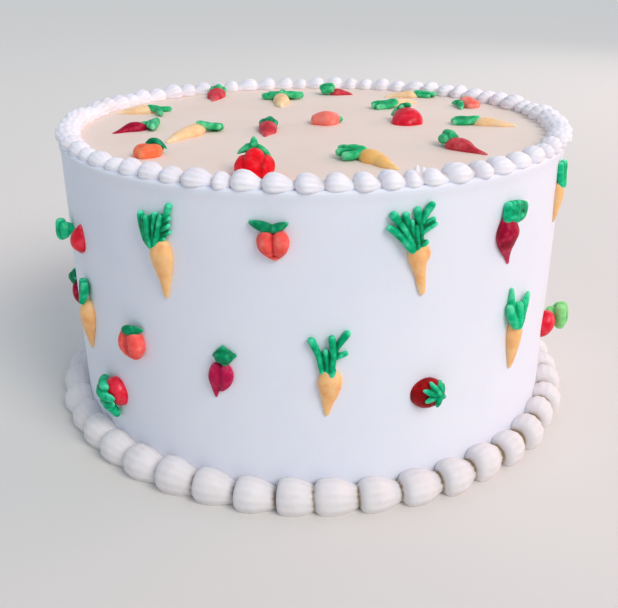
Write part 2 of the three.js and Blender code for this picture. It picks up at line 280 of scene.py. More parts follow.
def makeIcing(name, look):
    icing = bpy.data.materials.new(name)
    icing.use_nodes = True
    nodes, links = icing.node_tree.nodes, icing.node_tree.links
    shader = nodes["Principled BSDF"]
    place = nodes.new("ShaderNodeTexCoord")

    def noise(size, detail):
        texture = nodes.new("ShaderNodeTexNoise")
        texture.inputs["Scale"].default_value = 1 / (size * mm)
        texture.inputs["Detail"].default_value = detail
        links.new(place.outputs["Object"], texture.inputs["Vector"])
        return texture.outputs["Fac"]

    # The crease mark picks the tone: a painted highlight on crests, the icing's own colour on flats, painted
    # shade in creases
    creaseShading = nodes.new("ShaderNodeAttribute")
    creaseShading.attribute_name = "creaseShading"  # -1 on crests, 1 in creases
    level = nodes.new("ShaderNodeMath")
    level.operation = "MULTIPLY_ADD"
    level.inputs[1].default_value = 0.5
    links.new(creaseShading.outputs["Fac"], level.inputs[0])
    mottle = nodes.new("ShaderNodeMapRange")
    mottle.inputs["To Min"].default_value = 0.5 - look["mottle"] / 2
    mottle.inputs["To Max"].default_value = 0.5 + look["mottle"] / 2
    links.new(noise(look["patch"], 3), mottle.inputs["Value"])
    links.new(mottle.outputs["Result"], level.inputs[2])
    ramp = nodes.new("ShaderNodeValToRGB")
    ramp.color_ramp.elements.new(0.5)
    for stop, where, tone in zip(ramp.color_ramp.elements, look["stops"], look["tones"]):
        stop.position = where
        stop.color = fromScreen(tone)
    links.new(level.outputs["Value"], ramp.inputs["Fac"])
    links.new(ramp.outputs["Color"], shader.inputs["Base Color"])

    gloss = nodes.new("ShaderNodeMapRange")
    gloss.inputs["To Min"].default_value = look["rough"] - look["roughSpread"]
    gloss.inputs["To Max"].default_value = look["rough"] + look["roughSpread"]
    links.new(noise(look["patch"] / 3, 2), gloss.inputs["Value"])
    links.new(gloss.outputs["Result"], shader.inputs["Roughness"])

    bump = nodes.new("ShaderNodeBump")
    bump.inputs["Strength"].default_value = look["grain"]
    bump.inputs["Distance"].default_value = look["grainDepth"] * mm
    links.new(noise(look["grainSize"], 4), bump.inputs["Height"])
    links.new(bump.outputs["Normal"], shader.inputs["Normal"])

    shader.inputs["Subsurface Weight"].default_value = look["soft"]
    shader.inputs["Subsurface Radius"].default_value = look["softReach"]
    shader.inputs["Subsurface Scale"].default_value = look["softSize"] * mm
    shader.inputs["Specular IOR Level"].default_value = look["shine"]
    return icing


# Marks where the icing gets painted shade (creases) and a painted highlight (crests)
def markCreaseShading(piece, depth, power=1, rounds=32):  # how far each point lies under the smoothed form
    points = readPoints(piece)
    count = len(points)
    edges = np.empty(len(piece.data.edges) * 2, dtype=np.int32)
    piece.data.edges.foreach_get("vertices", edges)
    first, second = edges.reshape(-1, 2).T
    neighbours = np.bincount(first, minlength=count) + np.bincount(second, minlength=count)
    smooth = points.copy()
    for _ in range(rounds):
        for axis in range(3):
            column = smooth[:, axis]
            total = np.bincount(first, column[second], count) + np.bincount(second, column[first], count)
            smooth[:, axis] = 0.5 * (column + total / np.maximum(neighbours, 1))
    normals = np.empty(count * 3)
    piece.data.vertices.foreach_get("normal", normals)
    below = np.einsum("ij,ij->i", smooth - points, normals.reshape(-1, 3))
    mark = piece.data.attributes.new("creaseShading", "FLOAT", "POINT")
    share = np.clip((below - np.median(below)) / depth, -1, 1)
    mark.data.foreach_set("value", np.sign(share) * np.abs(share) ** power)


icings = {name: makeIcing(name, {**icingBase, **look}) for name, look in icingLook.items()}
print("icing finishes made:", len(icings))


# The iced cake

cakeLook = {
    "sides": 240,
    "lip": 0.5 * mm,  # how far the edge of the top icing stands out over the wall
    "lipHeight": 2 * mm,
    "wallRings": 64,
    "topRings": 28,
    "footBevel": 1.5 * mm,
    "topBevel": 1.2 * mm,
    "edgeBand": 5 * mm,  # under the rim border, still in the icing of the wall
    "smear": 0.22 * mm,  # depth of the marks left by smoothing
    "plainFoot": 4 * mm,  # no marks lower than this
    "plainEdge": 2 * mm,  # nor this near the edge of the top
    # each wave of the marks: how fast it goes round and up, or along x and y, its shift and its share
    "wallWaves": [(5, 26, 1, 1), (9, -41, 2.2, 1), (17, 75, 0, 0.7)],
    "topWaves": [(34, 21, 0.4, 1), (-47, 18, 1.9, 1), (70, -55, 0, 0.7)],
}
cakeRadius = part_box("cake")[1].x - cakeLook["lip"]
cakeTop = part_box("cake")[1].z


def smearMarks(waves, first, second):  # broad strokes of the smoothing blade, between -1 and 1
    total = sum(share * np.sin(a * first + b * second + shift) for a, b, shift, share in waves)
    return total / sum(share for a, b, shift, share in waves)


def makeCake():
    deselectAll()
    bpy.ops.mesh.primitive_cylinder_add(
        vertices=cakeLook["sides"], radius=cakeRadius, depth=cakeTop, location=(0, 0, cakeTop / 2))
    cake = bpy.context.object
    cake.name = "icedCake"
    bpy.ops.object.transform_apply(location=True)
    tiny = 0.001 * mm

    def select(mode, wanted):
        bpy.ops.object.mode_set(mode="EDIT")
        bpy.ops.mesh.select_mode(type=mode)
        bpy.ops.mesh.select_all(action="DESELECT")
        bpy.ops.object.mode_set(mode="OBJECT")
        for part in cake.data.edges if mode == "EDGE" else cake.data.polygons:
            part.select = wanted(part)
        bpy.ops.object.mode_set(mode="EDIT")

    def heights(edge):  # lower and upper end
        return sorted(cake.data.vertices[i].co.z for i in edge.vertices)

    select("EDGE", lambda edge: heights(edge)[1] < tiny)
    bpy.ops.mesh.bevel(offset=cakeLook["footBevel"], segments=3)
    select("EDGE", lambda edge: heights(edge)[0] > cakeTop - tiny)
    bpy.ops.mesh.bevel(offset=cakeLook["topBevel"], segments=4)
    select("FACE", lambda face: face.normal.z > 0.999)
    for ring in range(cakeLook["topRings"]):
        bpy.ops.mesh.inset(thickness=cakeRadius / (cakeLook["topRings"] + 1))
    bpy.ops.mesh.poke()
    select("EDGE", lambda edge: heights(edge)[1] - heights(edge)[0] > 0.5 * cakeTop)
    bpy.ops.mesh.subdivide(number_cuts=cakeLook["wallRings"])
    bpy.ops.mesh.select_all(action="SELECT")
    bpy.ops.mesh.normals_make_consistent(inside=False)
    deselectAll()

    points = readPoints(cake)
    x, y, z = points.T
    radius = np.maximum(np.hypot(x, y), 1e-9)
    wall = smearMarks(cakeLook["wallWaves"], np.arctan2(x, -y), z)
    top = smearMarks(cakeLook["topWaves"], x, y)
    edge = cakeRadius - cakeLook["plainEdge"]
    onWall = (radius > edge) & (z > cakeLook["plainFoot"])
    lip = cakeLook["lip"] * np.exp(-(((cakeTop - z) / cakeLook["lipHeight"] - 0.5) ** 2))
    outward = np.where(onWall, cakeLook["smear"] * (wall - 1) / 2 + lip, 0)
    flat = (z > cakeTop - 0.1 * mm) & (radius < edge)
    down = np.where(flat, cakeLook["smear"] * (top - 1) / 2, 0)
    share = 1 + outward / radius
    writePoints(cake, np.column_stack([x * share, y * share, z + down]))

    for face in cake.data.polygons:
        inside = math.hypot(face.center.x, face.center.y) < cakeRadius - cakeLook["edgeBand"]
        face.material_index = 1 if face.normal.z > 0.7 and inside else 0
    selectOnly(cake)
    bpy.ops.object.shade_smooth_by_angle(angle=math.radians(50))
    materialIndex = [face.material_index for face in cake.data.polygons]
    keepPiece(cake, "cake", "white_icing", icings["wallIcing"], icings["topIcing"])
    cake.data.polygons.foreach_set("material_index", materialIndex)


makeCake()
print("cake iced")


# Shell borders, each shell piped with a star tip from a round head to a thin tail

def cloudTexture(name, size):  # size of its lumps in mm
    texture = bpy.data.textures.new(name, "CLOUDS")
    texture.noise_scale = size
    return texture


icingFolds = cloudTexture("icingFolds", size=5)

footShells = {  # sizes in mm
    "count": 44,
    "reach": 11,
    "height": 12.2,
    "middle": 0.42,  # middle of its round section, as a share of reach and height
    "firstTurn": 1.75,  # degrees, head of the first shell
    "spread": 0.5,  # degrees of unevenness
    "uneven": 0.06,
    "voxel": 0.55,
    "smoothing": 1,
    "lumps": 0.45,
    "keep": 0.5,  # share of the faces kept
    "ridges": 12,
    "ridgeDepth": 0.032,
    "creaseDepth": 0.58,
    "creasePower": 2,  # over 1, only deep creases count
    # distance along the shell, and size there
    "head": [(-8.7, 0.3), (-8.6, 0.62), (-8.1, 0.87), (-6.7, 1.01), (-4.2, 1.06), (-1.4, 1.02)],
    "tail": [(1.6, 0.9), (4.2, 0.74), (6.8, 0.58), (9.2, 0.42), (11.6, 0.26)],
}
rimShells = {
    "count": 70,
    "width": 10.2,
    "height": 4.9,
    "middle": 0.3,  # middle of its round section, as a share of the height
    "sunk": 0.3,  # how far it goes down into the icing of the top
    "overhang": 1.3,
    "headSpread": 0.18,  # unevenness of the heads at the sides and back, as a share of their step
    "follow": 0.25,  # how far the girth of a shell follows the room that it has
    "rightPush": 1.2,  # how much further it stands out on the right
    "sideRise": 0.18,  # how much taller it is at the sides
    "thin": [(-52, 19, 0.27), (47, 18, 0.17)],  # where it is thin, over how many degrees and by what share
    "voxel": 0.36,
    "smoothing": 1,
    "lumps": 0.5,
    "keep": 0.5,
    "uneven": 0.1,
    "yaw": 9,  # degrees, how far a shell may turn out of the row
    "ridges": 10,
    "ridgeDepth": 0.05,
    "creaseDepth": 0.35,
    "creasePower": 1.4,
    "head": [(-4.4, 0.3), (-4.1, 0.6), (-3.3, 0.87), (-2.0, 1.03), (-0.4, 1.03)],
    "tail": [(1.2, 0.92), (2.6, 0.72), (3.8, 0.52), (5.0, 0.36), (6.4, 0.24)],
    "peaks": [(19.4, 1.5), (20.7, 0.9), (-21.6, 0.5)],  # turn, and height over the shell
    "peakFoot": 2.2,
    "peakTip": 0.4,
    "peakStart": 0.9,  # height where a peak leaves its shell, as a share of the border's
    # turns of the shell heads along the front, in degrees
    "frontHeads": [-34.2, -29, -24.3, -18.1, -14.6, -8.9, -3, 2.3, 7.4, 12.2, 17, 20.3, 25.1,
                   31.5, 36.2, 42, 48],
}


def pipeShell(name, look, halfOut, halfUp, middle):
    # the shell runs along x, y is out from the wall and z is up; its tail narrows towards the corner at 0, 0
    ridges = look["ridges"]
    head, tail = look["head"], look["tail"]
    shell = startMesh(name, "VERT")
    start = Vector((head[0][0], *middle))
    bpy.ops.mesh.primitive_circle_add(
        vertices=4 * ridges, radius=1, fill_type="NGON", location=start, rotation=(0, math.pi / 2, 0))
    bpy.ops.mesh.select_all(action="DESELECT")
    bpy.ops.object.mode_set(mode="OBJECT")
    for i, point in enumerate(shell.data.vertices):
        point.select = i % 4 == 0  # every fourth point is the bottom of a groove
    bpy.ops.object.mode_set(mode="EDIT")
    groove = 1 - 2 * look["ridgeDepth"]
    bpy.ops.transform.resize(value=(1, groove, groove), center_override=start)
    bpy.ops.mesh.select_all(action="SELECT")
    size = head[0][1]
    bpy.ops.transform.resize(value=(1, halfOut * size, halfUp * size), center_override=start)
    bpy.ops.mesh.select_mode(type="FACE")
    for stations, centre in ((head[1:], middle), (tail, (0, 0))):
        for along, nextSize in stations:
            step = Vector((along - start.x, 0, 0))
            start += step
            bpy.ops.mesh.extrude_region_move(TRANSFORM_OT_translate={"value": step})
            ratio = nextSize / size
            bpy.ops.transform.resize(value=(1, ratio, ratio), center_override=(start.x, *centre))
            size = nextSize
    bpy.ops.mesh.select_all(action="SELECT")
    bpy.ops.mesh.normals_make_consistent(inside=False)
    deselectAll()
    applyModifier(shell, "SUBSURF", levels=2, render_levels=2)
    return shell


def shellCopy(shell, turn, radius, size, yaw=0):  # own mesh, sized and set round the cake, in mm
    copy = ownCopy(shell)
    along, out, up = turned(readPoints(copy) * size, yaw).T
    angle = math.radians(turn) + along / radius
    reach = radius + out
    writePoints(copy, np.column_stack([reach * np.sin(angle), -reach * np.cos(angle), up]))
    return copy


def fuseShells(copies, name, look, cut, lift):
    selectOnly(*copies)
    bpy.ops.object.join()
    border = bpy.context.object
    border.name = name
    applyModifier(border, "REMESH", mode="VOXEL", voxel_size=look["voxel"], use_smooth_shade=True)
    applyModifier(border, "SMOOTH", factor=0.5, iterations=look["smoothing"])
    markCreaseShading(border, look["creaseDepth"], look["creasePower"])
    applyModifier(border, "DISPLACE", texture=icingFolds, texture_coords="LOCAL",
                  strength=look["lumps"], mid_level=0.5)
    applyModifier(border, "DECIMATE", ratio=look["keep"])
    cutFlat(border, cut)
    writePoints(border, readPoints(border) * mm + np.array([0, 0, lift]))
    return border


def makeFootBorder():
    look = footShells
    reach, height, share = look["reach"], look["height"], look["middle"]
    middle = (reach * share, height * share)
    shell = pipeShell("footShell", look, reach * (1 - share), height * (1 - share), middle)
    copies = []
    for i in range(look["count"]):
        turn = look["firstTurn"] + 360 * (i + 0.5) / look["count"] + look["spread"] * draw(i + 0.7)
        size = 1 + look["uneven"] * np.array([draw(i + 0.1), draw(i + 0.2), draw(i + 0.3)])
        copies.append(shellCopy(shell, turn, cakeRadius / mm, size))
    bpy.data.objects.remove(shell)
    border = fuseShells(copies, "footBorder", look, 0, 0)
    keepPiece(border, "foot_border", "white_icing", icings["footIcingShaded"])


def rimHeads():  # turns of all the heads: those along the front, then the rest evenly, a little uneven
    look = rimShells
    heads = list(look["frontHeads"])
    rest = look["count"] - len(heads)
    gap = 360 - (heads[-1] - heads[0])
    step = gap / (rest + 1)
    for i in range(1, rest + 1):
        heads.append(look["frontHeads"][-1] + step * (i + look["headSpread"] * draw(i)))
    return heads


def makeRimBorder():
    look = rimShells
    height, share = look["height"], look["middle"]
    shell = pipeShell("rimShell", look, look["width"] / 2, height * (1 - share), (0, height * share))
    radius = cakeRadius / mm + look["overhang"] - look["width"] / 2
    pitch = math.radians(360 / look["count"]) * radius
    heads = rimHeads()
    copies = []
    for i, turn in enumerate(heads):
        after = heads[i + 1] if i + 1 < len(heads) else heads[0] + 360
        room = math.radians(after - turn) * radius / pitch
        swell = 1 + look["follow"] * (room - 1)
        for where, span, loss in look["thin"]:
            swell *= 1 - loss * math.exp(-(math.remainder(turn - where, 360) / span) ** 2)
        sideways = math.sin(math.radians(turn))
        rise = 1 + look["sideRise"] * abs(sideways)
        size = np.array([room, swell, swell * rise])
        size *= 1 + look["uneven"] * np.array([0, draw(i + 0.2), draw(i + 0.3)])
        offset = math.degrees(-look["head"][0][0] * room / radius)
        reach = radius + look["rightPush"] * max(0, sideways)
        copies.append(shellCopy(shell, turn + offset, reach, size, look["yaw"] * draw(i + 0.5)))
    deselectAll()
    bpy.ops.mesh.primitive_cone_add(
        vertices=16, radius1=look["peakFoot"], radius2=look["peakTip"], depth=1, location=(0, 0, 0.5))
    peak = bpy.context.object
    bpy.ops.object.transform_apply(location=True)
    for turn, rise in look["peaks"]:
        copies.append(shellCopy(peak, turn, radius, (1, 1, height * look["peakStart"] + rise)))
    bpy.data.objects.remove(peak)
    bpy.data.objects.remove(shell)
    border = fuseShells(copies, "rimBorder", look, -look["sunk"], cakeTop)
    keepPiece(border, "rim_border", "white_icing", icings["rimIcing"])


makeFootBorder()
makeRimBorder()
print("shell borders piped")


# Motifs: each look is piped once as root or fruit and as leaves, in mm, then copied to its places.
# A stroke is a list of stations: across, up, radius and, where it runs over others, its lift.

pipeLook = {
    "voxel": 0.24,
    "tuck": 0.5,  # how far a motif is pressed into the icing behind it
    "uneven": 0.26,
    "unevenSize": 3.5,
    "grain": 0.1,
    "grainSize": 1.2,
    "creaseDepth": 0.25,
    "keep": 0.4,  # share of the faces kept
    "sides": 10,
    "endReach": 0.8,  # how far a rounded end goes past its station, and its girth there
    "endGirth": 0.6,
    "crown": 1.1,  # leaves start raised over the crown of the root, and come down over this span
    "crownSpan": 4,
    # each second and third stroke lies a layer higher
    "root": {"layer": 0.12, "smoothing": 6, "fatten": 1},
    "leaf": {"layer": 0.4, "smoothing": 2, "fatten": 1.02},
    "block": {"layer": 0.1, "smoothing": 12, "fatten": 1},
}
carrotLooks = {
    "brush": {"root": [
        [(1.1, -0.3, 4), (1.1, -3, 4.9), (1.3, -6.4, 4.2), (1.6, -10.4, 3.1), (1.5, -14.4, 2.1),
         (1.3, -19, 1)],
        [(2.8, -3, 3), (2.6, -7, 2.8), (2.3, -11, 2.2), (1.9, -14.6, 1.6)],
    ], "leaf": [
        [(-6.7, 10.1, 1.45), (-6.1, 5, 1.35), (-5, 1.5, 1.3), (-2.4, -0.7, 1.1)],
        [(-5, 9, 1.3), (-4.6, 4.2, 1.3), (-2.6, 0, 1.2)],
        [(-3.4, 9.3, 1.35), (-3.3, 4, 1.3), (-1.5, 0, 1.2)],
        [(-1.6, 10, 1.2), (-2, 5, 1.25), (-1, 0.4, 1.2)],
        [(0.2, 11, 1.3), (-1, 5, 1.25), (-0.5, 0.2, 1.2)],
        [(2.6, 10.6, 1.25), (1.2, 5, 1.25), (0.1, 0.5, 1.2)],
        [(5.6, 14.4, 1.5), (4, 10.6, 1.1), (2.2, 6.5, 1.15), (0.7, 1, 1.2)],
        [(5.4, 10.3, 1), (2.8, 8.3, 1)],
        [(5.4, 7.9, 1), (2.4, 5.9, 1)],
        [(4.8, 5.3, 1), (1.8, 3.7, 1)],
        [(3, 3, 0.95), (0.8, 1.6, 0.95)],
    ]},
    "knobby": {"root": [
        [(1.2, -0.4, 3.3), (1.5, -3, 4), (2.1, -5.8, 3.2), (2.8, -8.6, 2.3), (3.3, -12, 2.1),
         (4.2, -16.8, 1.4)],
        [(3.8, -1.2, 2.3), (4.1, -3.2, 2.6), (3.6, -5.2, 2)],
    ], "leaf": [
        [(-7.6, 11.6, 1.8), (-5.8, 9.4, 1.25), (-3.4, 6, 1.2), (-1.4, 1.5, 1.2)],
        [(-8.8, 7.5, 1.3), (-5.3, 4.9, 1.35), (-2.2, 1.2, 1.6), (-1.2, -0.3, 1.5)],
        [(-5, 8.4, 1.2), (-2.9, 4.8, 1.3), (-1.2, 0.8, 1.3)],
        [(-3.3, 11.4, 1.4), (-3, 8, 1.2), (-1.8, 4, 1.2), (-0.6, 0.4, 1.2)],
        [(0.2, 7, 1.3), (0.4, 3.6, 1.3), (0.5, 0.4, 1.3)],
        [(-1.4, 9, 1), (-1, 4.5, 0.95), (-0.4, 0.5, 1)],
        [(0.6, 12.7, 1.55), (1, 10, 1.3), (1.8, 7, 1.2), (2.2, 2, 1.2), (1.5, 0.3, 1.1)],
        [(5.4, 14, 1.5), (3.4, 11.4, 1.3), (2.3, 8.5, 1.15)],
        [(7.3, 7.4, 0.9), (4.5, 6.3, 0.95), (2.4, 4.8, 1)],
        [(7, 8.9, 0.9), (4.5, 8.2, 0.95), (2.6, 7, 1)],
        [(4, 1.7, 1.1), (2.3, 0.9, 1.1)],
    ]},
    "forked": {"root": [
        [(0.2, -0.4, 3.6), (0.3, -3, 4.6), (0.2, -6.5, 3.8), (0, -10.5, 2.6), (-0.4, -14.5, 1.6),
         (-0.6, -16.8, 0.9)],
        [(2.2, -2, 3), (1.9, -6, 2.8), (1.2, -10, 1.9)],
    ], "leaf": [
        [(-5.9, 12.7, 1.6), (-4.7, 10.2, 1.3), (-3.2, 7, 1.2), (-2.3, 1.2, 1.15)],
        [(-1.2, 8.7, 1.1), (-0.7, 5, 1.05), (-0.2, 1, 1.05)],
        [(0.9, 13.9, 1.5), (1.3, 10.5, 1.25), (1.6, 7, 1.2), (1, 1.7, 1.2)],
        [(6.2, 15, 1.45), (4, 11.8, 1.25), (2.2, 9, 1.15), (1.6, 6.5, 1.1)],
        [(5.8, 7.7, 1.15), (3.8, 6.9, 1.05), (2, 6.2, 1.05)],
        [(1.4, 1.8, 1.3), (0.9, 0.2, 1.2)],
    ]},
    "fan": {"root": [
        [(0.8, -0.6, 3.2), (1, -3.2, 3.8), (1.3, -7, 3.2), (1.5, -11, 2.4), (1.6, -14.4, 1.6),
         (1.6, -16.4, 0.9)],
    ], "leaf": [
        [(-2.4, 13.2, 0.8), (-2.6, 9, 1.2), (-2, 4, 1.6), (-0.5, 0, 1.4)],
        [(-3.8, 7.6, 1.3), (-3.1, 4.5, 1.8), (-1, 0.4, 1.5)],
        [(7, 9.4, 0.8), (4.9, 7.2, 1.3), (2.2, 3.2, 1.6), (0.3, 0, 1.4)],
        [(6.6, 5.4, 0.9), (4.4, 4.4, 1.4), (1, 1.2, 1.5)],
        [(0.9, 7, 1.7), (0.5, 4, 2.2), (0, 0.5, 1.6)],
    ]},
    "spread": {"root": [
        [(-0.1, -0.6, 3.2), (0, -3.2, 3.8), (0.1, -7, 3.2), (0.1, -11, 2.4), (0, -14.6, 1.5),
         (0, -16.8, 0.9)],
    ], "leaf": [
        [(-7.6, 3.4, 1.6), (-4.4, 2.6, 1.6), (-0.9, 0.4, 1.5)],
        [(-5, 6.6, 1.6), (-2.8, 4, 1.6), (-0.5, 0.4, 1.5)],
        [(0.2, 7.4, 1.7), (0.1, 4, 1.6), (0, 0.4, 1.5)],
        [(5, 6, 1.6), (2.8, 3.8, 1.6), (0.5, 0.4, 1.5)],
        [(7.6, 3, 1.6), (4.4, 2.2, 1.6), (0.9, 0.4, 1.5)],
    ]},
    "bundle": {"root": [
        [(0, -0.4, 3.2), (0, -3.2, 3.9), (0.1, -7, 3.3), (0.1, -11, 2.4), (0, -14.6, 1.6), (0, -16.8, 0.9)],
    ], "leaf": [
        [(-2.6, 10, 1.5), (-2, 5.4, 1.5), (-0.9, 0.2, 1.4)],
        [(-0.4, 10.8, 1.5), (-0.4, 6, 1.4), (-0.1, 0.2, 1.4)],
        [(1.9, 10.2, 1.5), (1.5, 5.4, 1.5), (0.7, 0.2, 1.4)],
        [(3.4, 7.4, 1.3), (2.4, 4, 1.3), (1, 0.6, 1.3)],
    ]},
    "clump": {"root": [
        [(0, -0.2, 3.4), (0, -2.8, 4.1), (-0.1, -6.6, 3.5), (-0.2, -10.6, 2.6), (0, -14.8, 1.6),
         (0.3, -17, 0.9)],
    ], "leaf": [
        [(-3.8, 6.6, 1.7, 0.3), (-2.4, 3.6, 1.6, 0.3), (-0.6, 0.4, 1.4)],
        [(-1.5, 8.6, 1.7, 0.5), (-1, 4.6, 1.6, 0.5), (-0.2, 0.4, 1.4)],
        [(1.6, 8.4, 1.7, 0.5), (1, 4.4, 1.6, 0.5), (0.2, 0.4, 1.4)],
        [(3.6, 6, 1.6, 0.3), (2.2, 3, 1.6, 0.3), (0.6, 0.4, 1.4)],
        [(0.4, 6.6, 1.6, 1.4), (0.2, 3, 1.5, 1.4)],
    ]},
    "sprig": {"root": [
        [(0, -0.4, 3), (0, -3.2, 3.7), (0, -7, 3.2), (0, -11.5, 2.4), (0.1, -16, 1.5), (0.2, -18.2, 0.9)],
    ], "leaf": [
        [(-1.4, 6.2, 1.4), (-0.9, 3, 1.4), (-0.3, 0, 1.3)],
        [(0.5, 7, 1.4), (0.3, 3.4, 1.4), (0, 0, 1.3)],
        [(1.9, 5.8, 1.3), (1.1, 2.8, 1.3), (0.4, 0, 1.3)],
    ]},
    "strip": {"root": [
        [(0.2, -2.6, 3.7), (-0.1, -5.2, 4.4), (-0.8, -9, 3.8), (-1.7, -13, 2.8), (-2.8, -17, 1.7),
         (-3.6, -19.6, 1)],
    ], "leaf": [
        [(-1.8, 6.4, 1.6), (-1.5, 3.4, 1.6), (-0.8, 0.2, 1.5)],
        [(0.4, 6.8, 1.6), (0.3, 3.4, 1.6), (0, 0.2, 1.5)],
        [(2.2, 6.4, 1.5), (1.8, 3.4, 1.5), (0.8, 0.2, 1.4)],
    ]},
    "split": {"root": [
        [(0, -0.2, 3.8), (0, -2.8, 4.6), (-0.1, -6.6, 4), (-0.2, -10.6, 2.9), (0, -14.8, 1.7),
         (0.3, -17, 0.9)],
    ], "leaf": [
        [(-2.2, 12.4, 1.6), (-0.8, 5, 1.8), (0, 0.4, 1.6)],
        [(14, 6.6, 1.7), (8, 5.6, 1.8), (4, 2.6, 1.8), (0.8, 0.6, 1.6)],
        [(-1.4, 5, 1.7), (-0.6, 0.6, 1.6)],
    ]},
}
beetLooks = {
    "block": {"root": [
        [(-0.2, -0.2, 4.2), (-0.2, -2.8, 5.3), (-0.2, -5.6, 4.8), (0.6, -8.8, 3.2), (1.8, -11.8, 1.7),
         (3.4, -15.6, 0.6)],
    ], "leaf": [
        [(-1.4, 1.9, 2), (-0.8, 6.8, 2)],
        [(0.2, 1.7, 2.1), (1, 6.8, 2.1)],
        [(1.8, 1.6, 2.2), (2.8, 6.6, 2.2)],
        [(3.4, 1.6, 2.2), (4.6, 6.3, 2.2)],
        [(5, 1.7, 2.1), (6.4, 5.9, 2.1)],
        [(6.2, 2, 2), (8, 5.4, 2)],
        [(-0.2, 5.8, 2.2, 0.2), (6.8, 4.9, 2.2, 0.2)],
        [(-0.4, 4.4, 2.2, 0.2), (6.6, 3.8, 2.2, 0.2)],
        [(-0.6, 3, 2.2, 0.2), (6, 2.7, 2.2, 0.2)],
    ]},
    "diamond": {"root": [
        [(-2.2, -2.2, 2.8), (-2.6, -5.4, 3.5), (-3, -9, 2.4), (-3.3, -12, 1.2), (-3.4, -14.2, 0.5)],
        [(1, -2.2, 2.6), (1.4, -5, 3.1), (0.6, -8, 2.4), (-1, -10.6, 1.3)],
        [(-0.6, -2.8, 2.7, -0.2), (-1, -7, 2.7, -0.2)],
    ], "leaf": [
        [(-2.2, 3.1, 1.5), (0.2, 5.4, 1.5)],
        [(0.6, 5.2, 1.5), (3.7, 3.4, 1.5)],
        [(3.6, 3.5, 1.5), (1.3, 0.9, 1.5)],
        [(1, 0.9, 1.5), (-2.1, 3.2, 1.5)],
        [(-0.4, 3, 2.5), (1.9, 3.2, 2.5)],
        [(-3, 3, 0.9), (-1, 3.1, 1.8)],
        [(4.8, 3.6, 0.8), (2.8, 3.4, 1.8)],
        [(0.3, 6.5, 0.9), (0.4, 4.6, 1.8)],
    ]},
    "ball": {"root": [
        [(0.2, 0, 3.4), (0.2, -2.6, 4.6), (0.2, -5.4, 4.3), (0.1, -8.4, 3), (0, -11, 1.7),
         (-0.2, -14.4, 0.6)],
    ], "leaf": [
        [(-1.9, 1.8, 2.2, 0.6), (-1.7, 5, 2.3, 0.6)],
        [(0.6, 1.4, 2.4, 1.3), (0.7, 5.6, 2.4, 1.3)],
        [(2.6, 2, 2.1, 0.4), (2.5, 4.8, 2.1, 0.4)],
    ]},
    "radish": {"root": [
        [(0.2, 0, 3.4), (0.2, -2.6, 4.6), (0.2, -5.4, 4.4), (0.1, -8.8, 3.2), (0, -12, 1.9),
         (-0.1, -17, 0.6)],
    ], "leaf": [
        [(-1.9, 1.8, 2.4, 1.2), (-1.7, 5, 2.4, 1.2)],
        [(0.6, 1.4, 2.5, 2.4), (0.7, 5.8, 2.5, 2.4)],
        [(2.5, 1.8, 2.2, 1), (2.4, 5, 2.3, 1)],
    ]},
    "stub": {"root": [
        [(0.2, 0, 3), (0.2, -2.6, 3.8), (0.1, -5.2, 3), (0, -8, 1.8), (0, -10.4, 0.8)],
    ], "leaf": [
        [(-2.2, 1.6, 2.5, 1.2), (-2, 5.4, 2.5, 1.2)],
        [(0.6, 1.2, 2.6, 2.2), (0.7, 6, 2.6, 2.2)],
        [(2.8, 1.8, 2.4, 1), (2.7, 5.2, 2.4, 1)],
    ]},
    "sheaf": {"root": [
        [(-0.2, -0.2, 3.4), (-0.2, -2.8, 4.2), (-0.2, -5.6, 3.8), (0.2, -8.6, 2.6), (0.6, -11.6, 1.4),
         (1, -15, 0.5)],
    ], "leaf": [
        [(5.2, -4.6, 2), (5.6, 3, 2.4), (5.2, 9, 2.3), (5, 15, 1.9)],
        [(3.6, -2.4, 1.8), (3.4, 4, 2.1), (3.6, 10, 1.8)],
        [(0.4, 0.4, 1.8), (4, 1.6, 2)],
    ]},
}
domeSpan = range(80, -81, -20)  # degrees along a tomato from end to end
sepalLook = {
    "turnSpread": 0.18,
    "lengthSpread": 0.15,
    "stations": ((0.12, 1.0), (0.55, 1.05), (1.0, 0.55)),  # shares of its length and of its girth
    "clear": 0.6,  # how much wider than the dome the form is that sepals lie on
    "edge": 0.97,  # share of that form that they reach at most
    "sunk": 0.9,
    "knot": (0.4, 1.1),  # half length and girth of the knot in their middle
}
